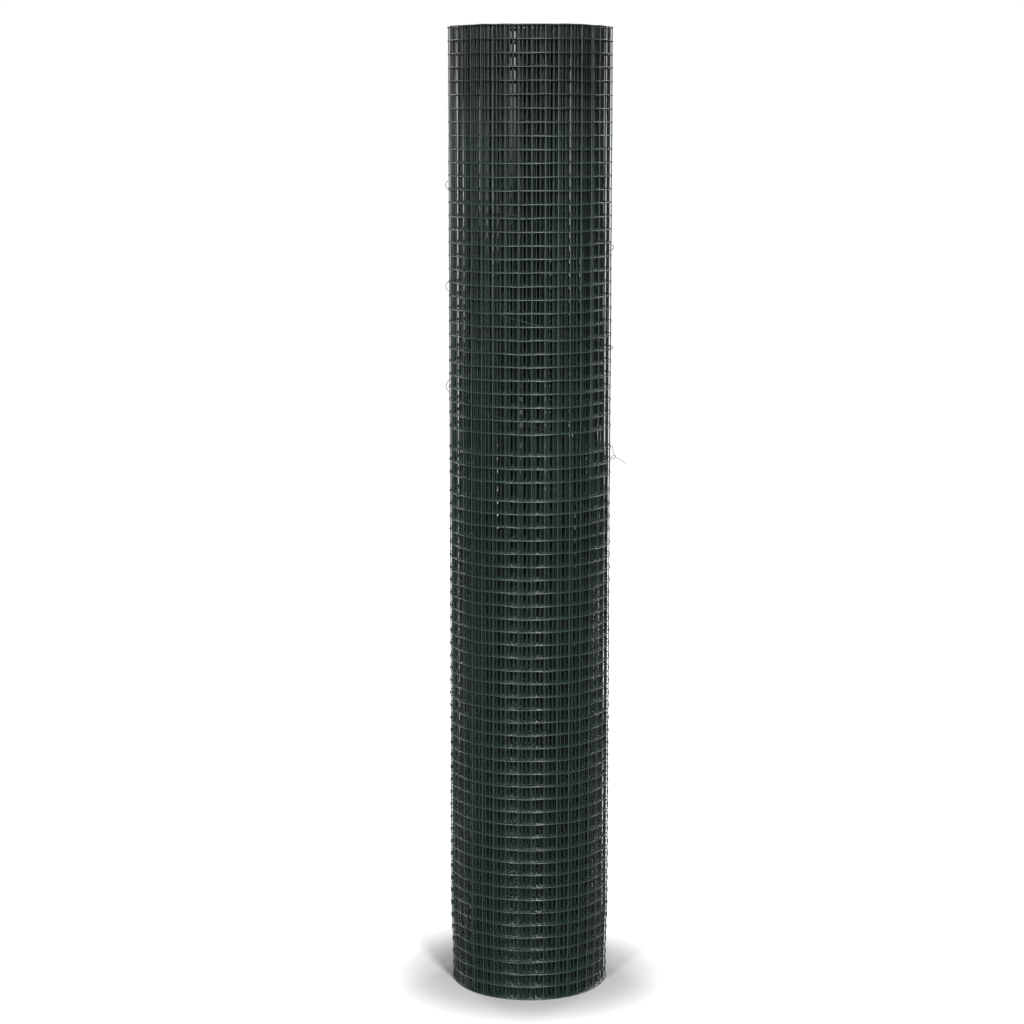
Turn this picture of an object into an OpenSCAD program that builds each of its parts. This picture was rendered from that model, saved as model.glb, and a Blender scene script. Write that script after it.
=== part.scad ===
// Roll of plastic-coated welded wire fencing, standing on one end and closed by a thin binding wire.
// Millimetres, +Z up. The origin is the centre of the lower end, and -Y is the front.
// The fine mesh is not modelled here: the wound sheet is one turned solid, and its turns show on both ends.

/* [Roll] */
// Width of the fencing, which is the height of the standing roll
roll_height = 1000; // [600:10:1500]
// Diameter over the outermost turn
outer_diameter = 167; // [140:1:260]
// Diameter of the open core left by the winding bar
bore_diameter = 50; // [30:1:90]

/* [Turns] */
// Diameter of the coated mesh wire, which is the width of each turn's edge
mesh_wire = 0.9; // [0.7:0.05:1.6]
// Least distance from one turn to the next
turn_step = 2; // [1.9:0.1:4]
// Depth of the gaps between the turns, seen on both ends
end_gap_depth = 6; // [2:0.5:12]

/* [Binding wire] */
// Diameter of the binding wire
binding_wire_d = 0.6; // [0.4:0.05:1.2]
// Clearance between the binding wire and the roll where it lies close
binding_seat = 0.3; // [0.3:0.05:0.8]
// Height of the binding wire's upper end below the top of the roll
binding_top_drop = 158; // [100:1:200]
// Drop of the binding wire in one turn round the roll
binding_drop = 103; // [60:1:130]
// How much more the front half of each turn drops than an even spiral
binding_front_sag = 13; // [0:0.5:20]
// How far the slack wire stands off the roll at both sides
binding_slack = 2.2; // [0.5:0.1:5]
// Length of the loose tail past the end loop
tail_length = 14; // [6:0.5:30]
// Size of the end loop
loop_size = 4.4; // [3:0.1:8]

/* [Hidden] */
outer_r = outer_diameter / 2;
bore_r = bore_diameter / 2;
wall = outer_r - bore_r;
turns = floor((wall - mesh_wire) / turn_step) + 1;
// The turns are spread evenly, so that the first one bounds the bore and the last one the outside
step = (wall - mesh_wire) / (turns - 1);
cut_over = 1;

wire_r = binding_wire_d / 2;
wire_sides = 8;
binding_top = roll_height - binding_top_drop;
// The wire is followed as an angle from the left side (-X) over the front (-Y) to the right side (+X)
start_angle = -12;
end_angle = 898;
wrap_rings = 140;
slack_sharpness = 12;
curve_steps = 4;

// Half section of the wound sheet with the gaps between its turns open at both ends
module roll_section() {
    difference() {
        translate([bore_r, 0])
            square([wall, roll_height]);
        for (turn = [0 : turns - 2])
            for (z = [-cut_over, roll_height - end_gap_depth])
                translate([bore_r + turn * step + mesh_wire, z])
                    square([step - mesh_wire, end_gap_depth + cut_over]);
    }
}

module mesh_roll() {
    color("#24453a")
        rotate_extrude($fn = 120)
            roll_section();
}

function unit(v) = v / norm(v);

// Height of the binding wire at an angle along its route
function wrap_z(a) = binding_top - binding_drop * a / 360 - binding_front_sag * (1 - cos(a)) / 2;

// Distance of the wire's centre from the roll's axis: close to the roll, with slack at both sides
function wrap_radius(a) = outer_r + binding_seat + wire_r + binding_slack * pow(abs(cos(a)), slack_sharpness);

function wrap_point(a) = [-wrap_radius(a) * cos(a), -wrap_radius(a) * sin(a), wrap_z(a)];

// The end is bent down, closed to a small loop and left with a loose tail. Each point is out, along and up.
function hook_point(p) = [outer_r + p[0], p[1], wrap_z(end_angle) + p[2]];

hook_start = wrap_radius(end_angle) - outer_r;
loop_low = -2.6 * loop_size;
tail_slope = 32;

function hook_points() = [
    for (p = [
        [hook_start + 0.4, -0.3, -0.5 * loop_size],
        [hook_start + 0.9, 0.9, -1.3 * loop_size],
        [hook_start + 0.6 * loop_size, 1.5, loop_low + 0.6 * loop_size],
        [hook_start + 0.7 * loop_size, 1.7, loop_low],
        [hook_start + 0.3 * loop_size, 1.6, loop_low - 0.4 * loop_size],
        [hook_start - 0.15 * loop_size, 1.1, loop_low - 0.2 * loop_size],
        [hook_start - 0.1 * loop_size, 0.2, loop_low + 0.3 * loop_size],
        [hook_start + 0.4 * loop_size, -0.5, loop_low + 0.45 * loop_size],
        [hook_start + 0.7 * loop_size, -0.6, loop_low + 0.2 * loop_size],
        [hook_start + 0.7 * loop_size + 0.5 * tail_length * cos(tail_slope), -0.4,
            loop_low + 0.2 * loop_size - 0.5 * tail_length * sin(tail_slope)],
        [hook_start + 0.7 * loop_size + tail_length * cos(tail_slope), 0.2,
            loop_low + 0.2 * loop_size - tail_length * sin(tail_slope)]
    ])
    hook_point(p)
];

// Smooth curve through four points, between the second and the third
function smooth(a, b, c, d, t) =
    0.5 * (2 * b + (c - a) * t + (2 * a - 5 * b + 4 * c - d) * t * t + (3 * b - a - 3 * c + d) * t * t * t);

function smooth_route(points) = [
    for (i = [1 : len(points) - 2])
        for (s = [1 : curve_steps])
            smooth(points[i - 1], points[i], points[i + 1], points[min(i + 2, len(points) - 1)], s / curve_steps)
];

function wrap_route() = [
    for (i = [0 : wrap_rings])
        wrap_point(start_angle + i * (end_angle - start_angle) / wrap_rings)
];

function binding_route() =
    let (wrap = wrap_route())
    let (last = len(wrap) - 1)
    concat(wrap, smooth_route(concat([wrap[last - 1], wrap[last]], hook_points())));

function tangent(route, i) = unit(route[min(i + 1, len(route) - 1)] - route[max(i - 1, 0)]);

// The side direction is carried along the route, so that the wire does not twist
function side_after(side, along) = unit(side - (side * along) * along);

function sides_along(route) = [
    for (i = 0, side = side_after([0, 0, 1], tangent(route, 0));
        i < len(route);
        i = i + 1, side = i < len(route) ? side_after(side, tangent(route, i)) : side)
        side
];

module swept_wire(route, radius) {
    sides = sides_along(route);
    rings = len(route);
    points = [
        for (i = [0 : rings - 1])
            for (k = [0 : wire_sides - 1])
                let (turn = 360 * k / wire_sides)
                route[i] + radius * (cos(turn) * sides[i] + sin(turn) * cross(tangent(route, i), sides[i]))
    ];
    walls = [
        for (i = [0 : rings - 2])
            for (k = [0 : wire_sides - 1])
                let (a = i * wire_sides + k)
                let (b = i * wire_sides + (k + 1) % wire_sides)
                [a, a + wire_sides, b + wire_sides, b]
    ];
    first_cap = [for (k = [0 : wire_sides - 1]) k];
    last_cap = [for (k = [wire_sides - 1 : -1 : 0]) (rings - 1) * wire_sides + k];
    polyhedron(points, concat(walls, [first_cap, last_cap]));
}

module binding_wire() {
    color("#3a4a44")
        swept_wire(binding_route(), wire_r);
}

mesh_roll();
binding_wire();
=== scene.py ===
from math import cos, pi, radians, sin

import bpy
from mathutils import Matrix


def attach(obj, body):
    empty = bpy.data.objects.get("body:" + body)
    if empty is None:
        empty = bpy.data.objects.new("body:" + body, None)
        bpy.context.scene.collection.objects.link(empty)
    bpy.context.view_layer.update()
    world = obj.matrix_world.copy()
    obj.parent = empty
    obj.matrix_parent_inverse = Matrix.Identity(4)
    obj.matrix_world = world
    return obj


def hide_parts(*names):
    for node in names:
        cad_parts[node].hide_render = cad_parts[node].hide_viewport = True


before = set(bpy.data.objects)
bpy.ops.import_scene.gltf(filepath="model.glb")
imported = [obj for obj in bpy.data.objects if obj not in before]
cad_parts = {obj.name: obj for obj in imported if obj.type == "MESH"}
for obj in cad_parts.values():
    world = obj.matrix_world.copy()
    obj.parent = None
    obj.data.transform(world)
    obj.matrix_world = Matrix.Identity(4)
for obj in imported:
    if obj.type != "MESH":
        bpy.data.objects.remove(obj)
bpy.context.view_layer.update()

# sizes of the wound sheet, in metres
sheet = {
    "pitch": 0.0135,            # square mesh, wire to wire
    "cells": 741,               # along the sheet, about 10 m
    "outerCells": 41,           # of them in the outermost turn
    "wire": 0.0009,             # over the coating
    "steelCore": 0.0006,
    "weldDepth": 0.6,           # cross wires lie this far inside the line wires, in wires
    "weldRadius": 0.00048,
    "tip": 0.0004,              # bare steel left by the cutter
    "outerRadius": 0.0843,      # centre of the line wire at the free edge
    "boreRadius": 0.0256,
    "freeEdge": radians(40),    # angle of the loose end, behind the right side
    "overhang": 0.005,          # line wires run on past the last cross wire
    "barOverrun": 0.0003,       # cross wires run on past the end rows
    "fewSides": 6,              # a tube with fewer sides is drawn fuller, to look as wide as a round one
    "fuller": 0.055,            # by this share of the wire
}
sheet["length"] = sheet["cells"] * sheet["pitch"]

# the line wires, counted from the top end
rows = {
    "count": 74,
    "top": 0.9995,
    "low": 0.0005,
    "wideRows": [(31, 0.62), (34, 0.42)],   # row above which a gap is wider, in pitches
}
rows["steps"] = rows["count"] - 1 + sum(extra for _, extra in rows["wideRows"])
rows["step"] = (rows["top"] - rows["low"]) / rows["steps"]

# how evenly the turns lie; pairs are where an effect begins and where it is full
looseness = {
    "innerDepth": (0.5, 1.6),   # where the turns under the outer one begin, in turns below the free edge
    "rightSlack": 0.0027,       # the outer turn stands off at the upper right
    "slackHeight": (0.52, 0.6),
    "leftTightness": 0.0005,    # the turns lie closer together at the left
    "sideFade": 2.0,            # how fast both fade towards the front and the back
    "footPinch": 0.0018,        # the foot is drawn in a little
    "pinchHeight": (0.085, 0.02),
    "creep": 0.0025,            # each turn starts this much later, in turns
    "slip": 0.006,              # uneven part of it
    "slipPerTurn": 0.9,         # how fast the uneven part changes
    "slipPerMetre": 1.3,
    "ripple": 0.0005,           # bends in and out
    "rippleScale": 1.6,
    "wave": 0.0014,             # bends up and down
    "waveScale": 2.7,
    "waveHeight": (0.0, 0.03),  # none on the floor
    "bendPerTurn": 0.7,         # how fast both bends change
    "bendPerMetre": 11.0,
    "seed": 8.37,
}


def newTree(name, inputs, outputs):
    tree = bpy.data.node_groups.new(name, "GeometryNodeTree")
    for label, kind, value in inputs:
        socket = tree.interface.new_socket(label, in_out="INPUT", socket_type="NodeSocket" + kind)
        if value is not None:
            socket.default_value = value
    for label, kind in outputs:
        tree.interface.new_socket(label, in_out="OUTPUT", socket_type="NodeSocket" + kind)
    return tree, tree.nodes.new("NodeGroupInput").outputs, tree.nodes.new("NodeGroupOutput").inputs


def put(tree, kind, values=None, **settings):
    node = tree.nodes.new(kind)
    for key, value in settings.items():
        setattr(node, key, value)
    for key, value in (values or {}).items():
        if isinstance(value, bpy.types.NodeSocket):
            tree.links.new(value, node.inputs[key])
        else:
            node.inputs[key].default_value = value
    return node


def calc(tree, operation, *values):
    return put(tree, "ShaderNodeMath", dict(enumerate(values)), operation=operation).outputs[0]


def ease(tree, value, low, high):
    ranged = {"Value": value, "From Min": low, "From Max": high}
    return put(tree, "ShaderNodeMapRange", ranged, interpolation_type="SMOOTHSTEP").outputs[0]


def blend(tree, tones):
    node = put(tree, "ShaderNodeMix", data_type="RGBA")
    for socket in node.inputs:
        if socket.enabled and socket.name in tones:
            tree.links.new(tones[socket.name], socket)
    return next(socket for socket in node.outputs if socket.enabled)


def vector(tree, x, y, z):
    return put(tree, "ShaderNodeCombineXYZ", {"X": x, "Y": y, "Z": z}).outputs[0]


def cloud(tree, place, scale, detail=2.0):
    settings = {"Vector": place, "Scale": scale, "Detail": detail}
    return put(tree, "ShaderNodeTexNoise", settings).outputs[0]


# smooth noise from -1 to 1
def noise(tree, place, scale):
    return calc(tree, "MULTIPLY_ADD", cloud(tree, place, scale, 1.0), 2.0, -1.0)


# puts a point of the flat sheet where it lies in the roll
def makeWindTree():
    tree, given, result = newTree("woundPlace", [
        ("Along", "Float", 0.0),
        ("Height", "Float", 0.0),
        ("Inset", "Float", 0.0),
        ("Sheet Length", "Float", sheet["length"]),
        ("Outer Radius", "Float", sheet["outerRadius"]),
        ("Bore Radius", "Float", sheet["boreRadius"]),
        ("Free Edge", "Float", sheet["freeEdge"]),
        ("Right Slack", "Float", looseness["rightSlack"]),
        ("Left Tightness", "Float", looseness["leftTightness"]),
        ("Foot Pinch", "Float", looseness["footPinch"]),
        ("Ripple", "Float", looseness["ripple"]),
        ("Wave", "Float", looseness["wave"]),
        ("Creep", "Float", looseness["creep"]),
        ("Slip", "Float", looseness["slip"]),
        ("Seed", "Float", looseness["seed"]),
    ], [("Position", "Vector")])

    def do(operation, *values):
        return calc(tree, operation, *values)

    outer, bore, height = given["Outer Radius"], given["Bore Radius"], given["Height"]
    boreSquare = do("MULTIPLY", bore, bore)
    spread = do("SUBTRACT", do("MULTIPLY", outer, outer), boreSquare)
    perLength = do("DIVIDE", spread, given["Sheet Length"])
    turnStep = do("MULTIPLY", perLength, pi)
    radius = do("SQRT", do("MULTIPLY_ADD", perLength, given["Along"], boreSquare))
    depth = do("DIVIDE", do("SUBTRACT", outer, radius), turnStep)     # turns below the free edge
    # the inner turns are shifted along, so that their cross wires don't line up
    perTurn = do("MULTIPLY", depth, looseness["slipPerTurn"])
    perMetre = do("MULTIPLY", height, looseness["slipPerMetre"])
    uneven = noise(tree, vector(tree, perTurn, perMetre, given["Seed"]), 1.0)
    inner = ease(tree, depth, *looseness["innerDepth"])
    slip = do("MULTIPLY", do("MULTIPLY", uneven, given["Slip"]), inner)
    frontDepth = do("DIVIDE", do("ADD", given["Free Edge"], pi / 2), 2 * pi)     # no shift at the front
    shift = do("MULTIPLY_ADD", do("SUBTRACT", depth, frontDepth), given["Creep"], slip)
    angle = do("MULTIPLY_ADD", do("ADD", depth, shift), -2 * pi, given["Free Edge"])
    acrossX, acrossY = do("COSINE", angle), do("SINE", angle)

    # the turns under the outer one lie off it at the upper right, and closer to it at the left
    rightLobe = do("POWER", do("MAXIMUM", acrossX, 0.0), looseness["sideFade"])
    leftLobe = do("POWER", do("MINIMUM", acrossX, 0.0), looseness["sideFade"])
    slack = do("MULTIPLY", ease(tree, height, *looseness["slackHeight"]), given["Right Slack"])
    tight = do("MULTIPLY", leftLobe, given["Left Tightness"])
    push = do("MULTIPLY", do("SUBTRACT", do("MULTIPLY", rightLobe, slack), tight), inner)
    pinch = do("MULTIPLY", ease(tree, height, *looseness["pinchHeight"]), given["Foot Pinch"])

    # small bends of the wires
    upward = do("MULTIPLY", height, looseness["bendPerMetre"])
    around = vector(tree, acrossX, acrossY, do("MULTIPLY_ADD", depth, looseness["bendPerTurn"], upward))
    ripple = do("MULTIPLY", noise(tree, around, looseness["rippleScale"]), given["Ripple"])
    lifted = do("MULTIPLY", noise(tree, around, looseness["waveScale"]), given["Wave"])
    wave = do("MULTIPLY", lifted, ease(tree, height, *looseness["waveHeight"]))

    reach = do("SUBTRACT", do("ADD", radius, ripple), do("ADD", do("ADD", push, pinch), given["Inset"]))
    x, y = do("MULTIPLY", reach, acrossX), do("MULTIPLY", reach, acrossY)
    tree.links.new(vector(tree, x, y, do("ADD", height, wave)), result["Position"])
    return tree


# line wires and cross wires of one stretch of the sheet, or only its welds
def makeMeshTree(windTree):
    tree, given, result = newTree("woundMesh", [
        ("Geometry", "Geometry", None),
        ("Line Start", "Float", 0.0),
        ("Line End", "Float", 0.1),
        ("Line Steps", "Int", 10),
        ("Rows", "Int", rows["count"]),
        ("Bar Start", "Float", 0.0),
        ("Bar End", "Float", 0.1),
        ("Bars", "Int", 0),
        ("Bar Steps", "Int", 20),
        ("Wire", "Float", sheet["wire"]),
        ("Sides", "Int", 4),
        ("Weld", "Float", sheet["weldRadius"]),
        ("Welds Only", "Bool", False),
        ("Material", "Material", None),
    ], [("Geometry", "Geometry")])

    def do(operation, *values):
        return calc(tree, operation, *values)

    def flatGrid(acrossCount, upCount):
        size = {"Size X": 1.0, "Size Y": 1.0, "Vertices X": acrossCount, "Vertices Y": upCount}
        grid = put(tree, "GeometryNodeMeshGrid", size).outputs["Mesh"]
        place = put(tree, "GeometryNodeInputPosition").outputs[0]
        parts = put(tree, "ShaderNodeSeparateXYZ", {"Vector": place}).outputs
        return grid, do("ADD", parts["X"], 0.5), do("ADD", parts["Y"], 0.5)

    def along(share, start, end):
        return do("MULTIPLY_ADD", share, do("SUBTRACT", given[end], given[start]), given[start])

    # height of a row, with the gaps that are wider than the rest
    def rowHeight(share):
        last = do("SUBTRACT", given["Rows"], 1.0)
        index = do("ROUND", do("MULTIPLY", do("SUBTRACT", 1.0, share), last))
        count = index
        for above, extra in rows["wideRows"]:
            count = do("MULTIPLY_ADD", do("GREATER_THAN", index, above - 0.5), extra, count)
        return do("MULTIPLY_ADD", count, -rows["step"], rows["top"])

    def wound(mesh, alongSheet, height, inset):
        spot = {"Along": alongSheet, "Height": height, "Inset": inset}
        place = put(tree, "GeometryNodeGroup", spot, node_tree=windTree).outputs[0]
        return put(tree, "GeometryNodeSetPosition", {"Geometry": mesh, "Position": place}).outputs[0]

    # leaves only the edges that run along the wires
    def keepEdges(mesh, axis):
        ends = put(tree, "GeometryNodeInputMeshEdgeVertices")
        both = {0: ends.outputs["Position 1"], 1: ends.outputs["Position 2"]}
        gap = put(tree, "ShaderNodeVectorMath", both, operation="SUBTRACT")
        part = put(tree, "ShaderNodeSeparateXYZ", {"Vector": gap.outputs[0]}).outputs[axis]
        crossing = do("GREATER_THAN", do("ABSOLUTE", part), sheet["wire"] / 100)
        cut = {"Geometry": mesh, "Selection": crossing}
        return put(tree, "GeometryNodeDeleteGeometry", cut, domain="EDGE", mode="EDGE_FACE").outputs[0]

    def tubes(mesh, sides, upright):
        curve = put(tree, "GeometryNodeMeshToCurve", {"Mesh": mesh}).outputs[0]
        if upright:
            curve = put(tree, "GeometryNodeSetCurveNormal", {"Curve": curve}, mode="Z_UP").outputs[0]
        fuller = do("MULTIPLY_ADD", do("LESS_THAN", sides, sheet["fewSides"]), sheet["fuller"], 0.5)
        outline = {"Resolution": sides, "Radius": do("MULTIPLY", given["Wire"], fuller)}
        ring = put(tree, "GeometryNodeCurvePrimitiveCircle", outline)
        made = {"Curve": curve, "Profile Curve": ring.outputs["Curve"], "Fill Caps": True}
        return put(tree, "GeometryNodeCurveToMesh", made).outputs[0]

    lineGrid, share, up = flatGrid(do("ADD", given["Line Steps"], 1.0), given["Rows"])
    lines = keepEdges(lineGrid, "Y")
    lines = wound(lines, along(share, "Line Start", "Line End"), rowHeight(up), 0.0)

    barGrid, share, up = flatGrid(given["Bars"], do("ADD", given["Bar Steps"], 1.0))
    bars = keepEdges(barGrid, "X")
    barLow = rows["low"] - sheet["barOverrun"]
    barHeight = do("MULTIPLY_ADD", up, rows["top"] + sheet["barOverrun"] - barLow, barLow)
    inset = do("MULTIPLY", given["Wire"], sheet["weldDepth"])
    bars = wound(bars, along(share, "Bar Start", "Bar End"), barHeight, inset)

    weldGrid, share, up = flatGrid(given["Bars"], given["Rows"])
    halfway = do("MULTIPLY", inset, 0.5)
    welds = wound(weldGrid, along(share, "Bar Start", "Bar End"), rowHeight(up), halfway)
    ball = {"Radius": given["Weld"], "Subdivisions": 1}
    drop = put(tree, "GeometryNodeMeshIcoSphere", ball).outputs[0]
    welds = put(tree, "GeometryNodeInstanceOnPoints", {"Points": welds, "Instance": drop}).outputs[0]

    joined = put(tree, "GeometryNodeJoinGeometry")
    for part in (tubes(lines, given["Sides"], True), tubes(bars, given["Sides"], False)):
        tree.links.new(part, joined.inputs[0])
    chosen = {"Switch": given["Welds Only"], "False": joined.outputs[0], "True": welds}
    whole = put(tree, "GeometryNodeSwitch", chosen, input_type="GEOMETRY").outputs[0]
    whole = put(tree, "GeometryNodeRealizeInstances", {"Geometry": whole}).outputs[0]
    whole = put(tree, "GeometryNodeSetShadeSmooth", {"Geometry": whole}).outputs[0]
    coated = {"Geometry": whole, "Material": given["Material"]}
    tree.links.new(put(tree, "GeometryNodeSetMaterial", coated).outputs[0], result["Geometry"])
    return tree


# runs a tree on an empty mesh and keeps the result as a plain mesh
def grow(name, tree, values):
    piece = bpy.data.objects.new(name, bpy.data.meshes.new(name))
    bpy.context.scene.collection.objects.link(piece)
    modifier = piece.modifiers.new("grow", "NODES")
    modifier.node_group = tree
    for item in tree.interface.items_tree:
        if item.in_out == "INPUT" and item.name in values:
            modifier[item.identifier] = values[item.name]
    grown = piece.evaluated_get(bpy.context.evaluated_depsgraph_get())
    made = bpy.data.meshes.new_from_object(grown)
    piece.modifiers.clear()
    piece.data = made
    made.name = name
    triangles = sum(len(face.vertices) - 2 for face in made.polygons)
    print(name, triangles, "triangles")
    return piece


def newMaterial(name):
    material = bpy.data.materials.new(name)
    material.use_nodes = True
    return material, material.node_tree, material.node_tree.nodes["Principled BSDF"]


# tone, gloss and fine unevenness of a drawn or dipped wire, with painted shade at the upper end
def makeWearGroup():
    tree = bpy.data.node_groups.new("wireWear", "ShaderNodeTree")
    inputs = [
        ("Dark", "Color"), ("Light", "Color"), ("Gloss", "Float"), ("Spread", "Float"),
        ("Patch Scale", "Float"), ("Grain Scale", "Float"), ("Relief", "Float"),
        ("Painted Top Shade", "Color"), ("Painted Top Shade Share", "Float"), ("Painted Top Shade From", "Float"), ("Painted Top Shade To", "Float"),
        ("Matt", "Float"), ("Matt From", "Float"), ("Matt To", "Float"),
    ]
    for label, kind in inputs:
        tree.interface.new_socket(label, in_out="INPUT", socket_type="NodeSocket" + kind)
    for label, kind in (("Color", "Color"), ("Roughness", "Float"), ("Normal", "Vector")):
        tree.interface.new_socket(label, in_out="OUTPUT", socket_type="NodeSocket" + kind)
    given = tree.nodes.new("NodeGroupInput").outputs
    result = tree.nodes.new("NodeGroupOutput").inputs
    place = put(tree, "ShaderNodeTexCoord").outputs["Object"]
    patch = cloud(tree, place, given["Patch Scale"])
    grain = cloud(tree, place, given["Grain Scale"])
    tone = blend(tree, {"Factor": patch, "A": given["Dark"], "B": given["Light"]})
    height = put(tree, "ShaderNodeSeparateXYZ", {"Vector": place}).outputs["Z"]
    # painted shade: the colour is darkened towards a grey-black shade tone at the upper end
    upper = ease(tree, height, given["Painted Top Shade From"], given["Painted Top Shade To"])
    paintedTopShade = calc(tree, "MULTIPLY", upper, given["Painted Top Shade Share"])
    tone = blend(tree, {"Factor": paintedTopShade, "A": tone, "B": given["Painted Top Shade"]})
    both = calc(tree, "SUBTRACT", calc(tree, "ADD", grain, patch), 1.0)     # from -1 to 1
    rough = calc(tree, "MULTIPLY_ADD", both, given["Spread"], given["Gloss"])
    matt = ease(tree, height, given["Matt From"], given["Matt To"])
    rough = calc(tree, "MULTIPLY_ADD", matt, given["Matt"], rough)
    bump = put(tree, "ShaderNodeBump", {"Height": grain, "Distance": given["Relief"]}).outputs[0]
    tree.links.new(tone, result["Color"])
    tree.links.new(rough, result["Roughness"])
    tree.links.new(bump, result["Normal"])
    return tree


def makeWire(name, finish, metallic=0.0, specular=0.5):
    material, tree, shader = newMaterial(name)
    wear = put(tree, "ShaderNodeGroup", finish, node_tree=wearGroup)
    for label, socket in (("Color", "Base Color"), ("Roughness", "Roughness"), ("Normal", "Normal")):
        tree.links.new(wear.outputs[label], shader.inputs[socket])
    shader.inputs["Metallic"].default_value = metallic
    shader.inputs["Specular IOR Level"].default_value = specular
    return material


wearGroup = makeWearGroup()
# both green coats: the upper end of the roll is painted darker and greyer as painted shade, and is more
# matt than the rest
coat = {
    "Spread": 0.15, "Patch Scale": 9.0, "Grain Scale": 420.0, "Relief": 0.00002,
    # painted shade colour and where it fades in at the upper end
    "Painted Top Shade": (0.0070, 0.0080, 0.0078, 1.0), "Painted Top Shade Share": 0.65, "Painted Top Shade From": 0.885, "Painted Top Shade To": 0.945,
    "Matt": 0.12, "Matt From": 0.40, "Matt To": 0.85,
}
# the turns behind the outer one: painted shade, their coat is darker than the outer turn's
innerCoatingPaintedShade = makeWire("innerCoatingPaintedShade", {
    "Dark": (0.011, 0.025, 0.0205, 1.0), "Light": (0.0165, 0.0375, 0.031, 1.0),
    "Gloss": 0.30, **coat,
}, specular=0.68)
# the outer turn: painted light, its coat is lighter than that of the turns behind, and more specular
outerCoatingPaintedLight = makeWire("outerCoatingPaintedLight", {
    "Dark": (0.0145, 0.0330, 0.0270, 1.0), "Light": (0.0215, 0.0495, 0.0410, 1.0),
    "Gloss": 0.32, **coat,
}, specular=1.0)
bindingCoating = makeWire("bindingCoating", {
    "Dark": (0.010, 0.019, 0.016, 1.0), "Light": (0.015, 0.028, 0.024, 1.0),
    "Gloss": 0.55, "Spread": 0.15, "Patch Scale": 25.0, "Grain Scale": 600.0, "Relief": 0.00002,
})
cutSteel = makeWire("cutSteel", {
    "Dark": (0.20, 0.19, 0.18, 1.0), "Light": (0.38, 0.37, 0.36, 1.0),
    "Gloss": 0.42, "Spread": 0.2, "Patch Scale": 60.0, "Grain Scale": 900.0, "Relief": 0.00003,
}, metallic=1.0)
windTree = makeWindTree()
meshTree = makeMeshTree(windTree)
print("trees ready")

# stretches of the sheet: the outermost turn in full detail, the turns behind it with fewer faces
outerFrom = sheet["cells"] - sheet["outerCells"]
stretches = [
    {"name": "outerTurn", "from": outerFrom, "to": sheet["cells"],
     "lineSteps": 2, "barSteps": 73, "sides": 8, "coat": outerCoatingPaintedLight},
    {"name": "turnsBehind", "from": 470, "to": outerFrom,
     "lineSteps": 1, "barSteps": 26, "sides": 4, "coat": innerCoatingPaintedShade},
    {"name": "turnsMiddle", "from": 235, "to": 470,
     "lineSteps": 1, "barSteps": 20, "sides": 4, "coat": innerCoatingPaintedShade},
    {"name": "turnsInner", "from": 0, "to": 235,
     "lineSteps": 1, "barSteps": 20, "sides": 4, "coat": innerCoatingPaintedShade},
]


def takeRollPlace(piece):
    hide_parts("mesh_roll")
    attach(piece, "root")


for part in stretches:
    count = part["to"] - part["from"]
    isLast = part["to"] == sheet["cells"]
    isFirst = part["from"] == 0
    takeRollPlace(grow(part["name"], meshTree, {
        "Line Start": part["from"] * sheet["pitch"] - (sheet["overhang"] if isFirst else 0.0),
        "Line End": part["to"] * sheet["pitch"] + (sheet["overhang"] if isLast else 0.0),
        "Line Steps": count * part["lineSteps"],
        "Bar Start": part["from"] * sheet["pitch"],
        "Bar End": (part["to"] - (0 if isLast else 1)) * sheet["pitch"],
        "Bars": count + (1 if isLast else 0),
        "Bar Steps": part["barSteps"],
        "Wire": sheet["wire"],
        "Sides": part["sides"],
        "Material": part["coat"],
    }))
print("mesh wound")

# the coating runs together in a drop where the outer wires cross
takeRollPlace(grow("weldDrops", meshTree, {
    "Bar Start": outerFrom * sheet["pitch"],
    "Bar End": sheet["length"],
    "Bars": sheet["cells"] - outerFrom + 1,
    "Welds Only": True,
    "Material": outerCoatingPaintedLight,
}))

# bare steel where the line wires were cut, at the free edge and in the bore
cutEnds = {
    "sides": 6,
    "starts": {
        "cutEndsOutside": sheet["length"] + sheet["overhang"],
        "cutEndsInside": -sheet["overhang"] - sheet["tip"],
    },
}
for name, start in cutEnds["starts"].items():
    takeRollPlace(grow(name, meshTree, {
        "Line Start": start,
        "Line End": start + sheet["tip"],
        "Line Steps": 1,
        "Bars": 0,
        "Wire": sheet["steelCore"],
        "Sides": cutEnds["sides"],
        "Material": cutSteel,
    }))

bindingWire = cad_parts["binding_wire"]
bindingWire.data.materials.clear()
bindingWire.data.materials.append(bindingCoating)
print("welds, cut ends and binding wire dressed")

# floor and studio
studio = {
    "half": 40.0,           # of the floor's side
    "dark": 0.48,           # faint cloudy variation of the floor
    "light": 0.52,
    "cloudScale": 3.0,
    "roughness": 0.9,
    # the floor glows white for the camera only; there is no glow under the roll, so its real shadow
    # shows, and the glow is weaker in a ring around it, a painted shadow
    "rollEdge": 0.082,
    "shadowEdge": 0.2,
    "nearWhite": 0.8,
    "farAway": 1.5,
    "farWhite": 1.0,
    # pale walls at the level of the horizon, under a dark ceiling
    "wallFront": 0.36,
    "wallSide": 0.45,
    "wallTop": (0.35, 0.1),
    "lampDistance": 3.2,
    "aimHeight": 0.5,       # the lamps point at the middle of the roll
}
half = studio["half"]
floorMesh = bpy.data.meshes.new("floor")
corners = [(-half, -half, 0), (half, -half, 0), (half, half, 0), (-half, half, 0)]
floorMesh.from_pydata(corners, [], [(0, 1, 2, 3)])
floor = bpy.data.objects.new("floor", floorMesh)
bpy.context.scene.collection.objects.link(floor)
paint, paintTree, paintShader = newMaterial("paleFloor")
paintShader.inputs["Roughness"].default_value = studio["roughness"]
paintShader.inputs["Specular IOR Level"].default_value = 0.0
paintShader.inputs["Emission Color"].default_value = (1.0, 1.0, 1.0, 1.0)
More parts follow.
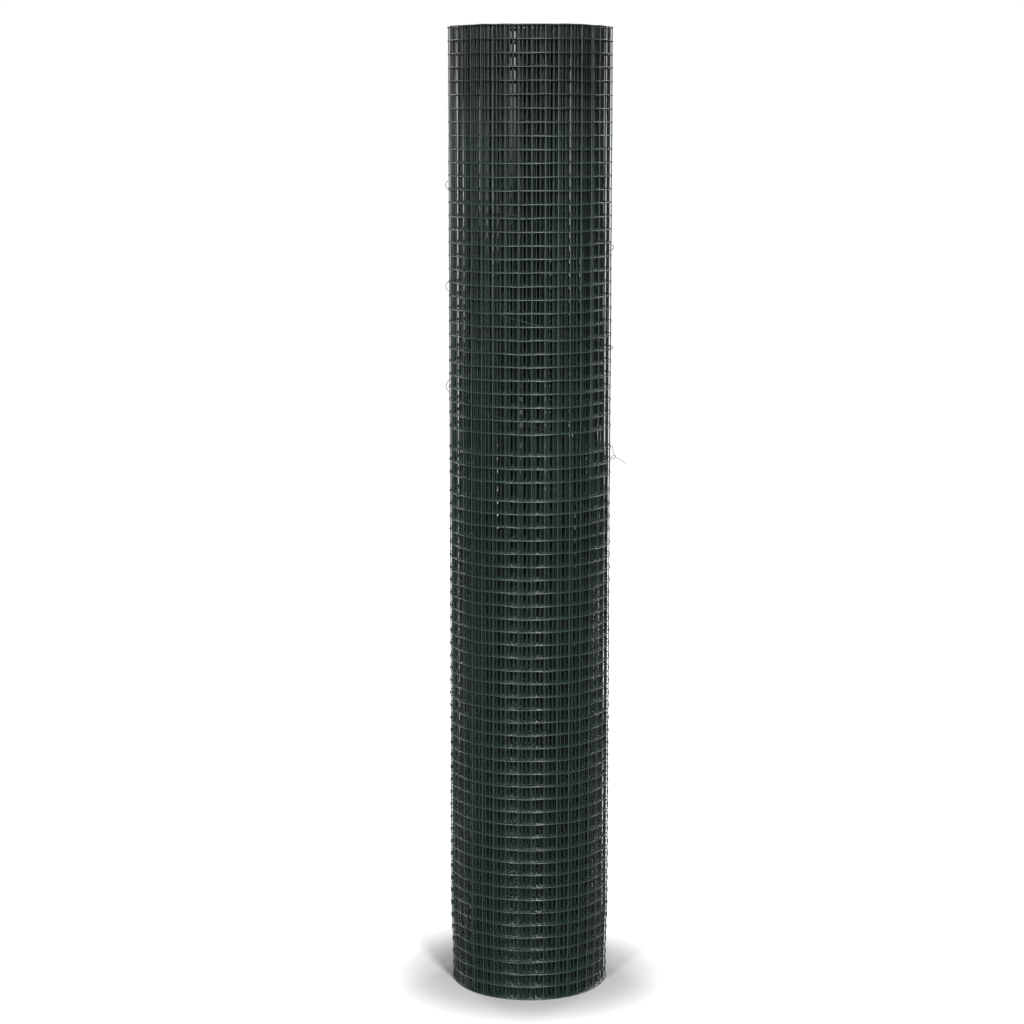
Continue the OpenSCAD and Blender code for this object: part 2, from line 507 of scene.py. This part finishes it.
floorPlace = put(paintTree, "ShaderNodeTexCoord").outputs["Object"]
patchy = cloud(paintTree, floorPlace, studio["cloudScale"])
grey = calc(paintTree, "MULTIPLY_ADD", patchy, studio["light"] - studio["dark"], studio["dark"])
paintTree.links.new(vector(paintTree, grey, grey, grey), paintShader.inputs["Base Color"])
away = put(paintTree, "ShaderNodeVectorMath", {0: floorPlace}, operation="LENGTH").outputs["Value"]
# painted shadow: the camera-only glow fades out towards the roll
near = ease(paintTree, away, studio["rollEdge"], studio["shadowEdge"])
far = ease(paintTree, away, studio["shadowEdge"], studio["farAway"])
lift = calc(paintTree, "MULTIPLY", near, studio["nearWhite"])
lift = calc(paintTree, "MULTIPLY_ADD", far, studio["farWhite"] - studio["nearWhite"], lift)
seen = put(paintTree, "ShaderNodeLightPath").outputs["Is Camera Ray"]
paintTree.links.new(calc(paintTree, "MULTIPLY", seen, lift), paintShader.inputs["Emission Strength"])
floorMesh.materials.append(paint)

world = bpy.data.worlds.new("studio")
bpy.context.scene.world = world
world.use_nodes = True
worldTree = world.node_tree
background = worldTree.nodes["Background"]
background.inputs["Color"].default_value = (1.0, 1.0, 1.0, 1.0)
direction = put(worldTree, "ShaderNodeTexCoord").outputs["Generated"]
ahead = put(worldTree, "ShaderNodeSeparateXYZ", {"Vector": direction}).outputs
sideways = calc(worldTree, "ABSOLUTE", ahead["X"])
brighter = studio["wallSide"] - studio["wallFront"]
walls = calc(worldTree, "MULTIPLY_ADD", sideways, brighter, studio["wallFront"])
glow = calc(worldTree, "MULTIPLY", walls, ease(worldTree, ahead["Z"], *studio["wallTop"]))
seen = put(worldTree, "ShaderNodeLightPath").outputs["Is Camera Ray"]
worldTree.links.new(calc(worldTree, "MAXIMUM", glow, seen), background.inputs["Strength"])

lamps = [
    {"name": "keyLeft", "azimuth": -24, "elevation": 16, "size": 0.42, "power": 69},
    {"name": "keyRight", "azimuth": 17, "elevation": 48, "size": 0.43, "power": 100},
    {"name": "fillBackLeft", "azimuth": -145, "elevation": 32, "size": 0.9, "power": 32},
    {"name": "fillBackRight", "azimuth": 145, "elevation": 32, "size": 0.9, "power": 32},
]
for lamp in lamps:
    data = bpy.data.lights.new(lamp["name"], "AREA")
    data.shape = "DISK"
    data.size = lamp["size"]
    data.energy = lamp["power"]
    light = bpy.data.objects.new(lamp["name"], data)
    turn, rise = radians(lamp["azimuth"]), radians(lamp["elevation"])
    reach = studio["lampDistance"] * cos(rise)
    height = studio["aimHeight"] + studio["lampDistance"] * sin(rise)
    light.location = (reach * sin(turn), -reach * cos(turn), height)
    light.rotation_euler = (pi / 2 - rise, 0.0, turn)
    bpy.context.scene.collection.objects.link(light)

# camera of the photograph, worked out from the rows of wire and the outline
view = {"x": -0.0181, "distance": 2.4994, "height": 0.9056, "tilt": 9.1470, "lens": 85.26, "sensor": 36.0}
cameraData = bpy.data.cameras.new("camera")
cameraData.lens = view["lens"]
cameraData.sensor_width = view["sensor"]
camera = bpy.data.objects.new("camera", cameraData)
camera.location = (view["x"], -view["distance"], view["height"])
camera.rotation_euler = (radians(90 - view["tilt"]), 0.0, 0.0)
bpy.context.scene.collection.objects.link(camera)
bpy.context.scene.camera = camera
bpy.context.scene.view_settings.view_transform = "Standard"
print("studio set")
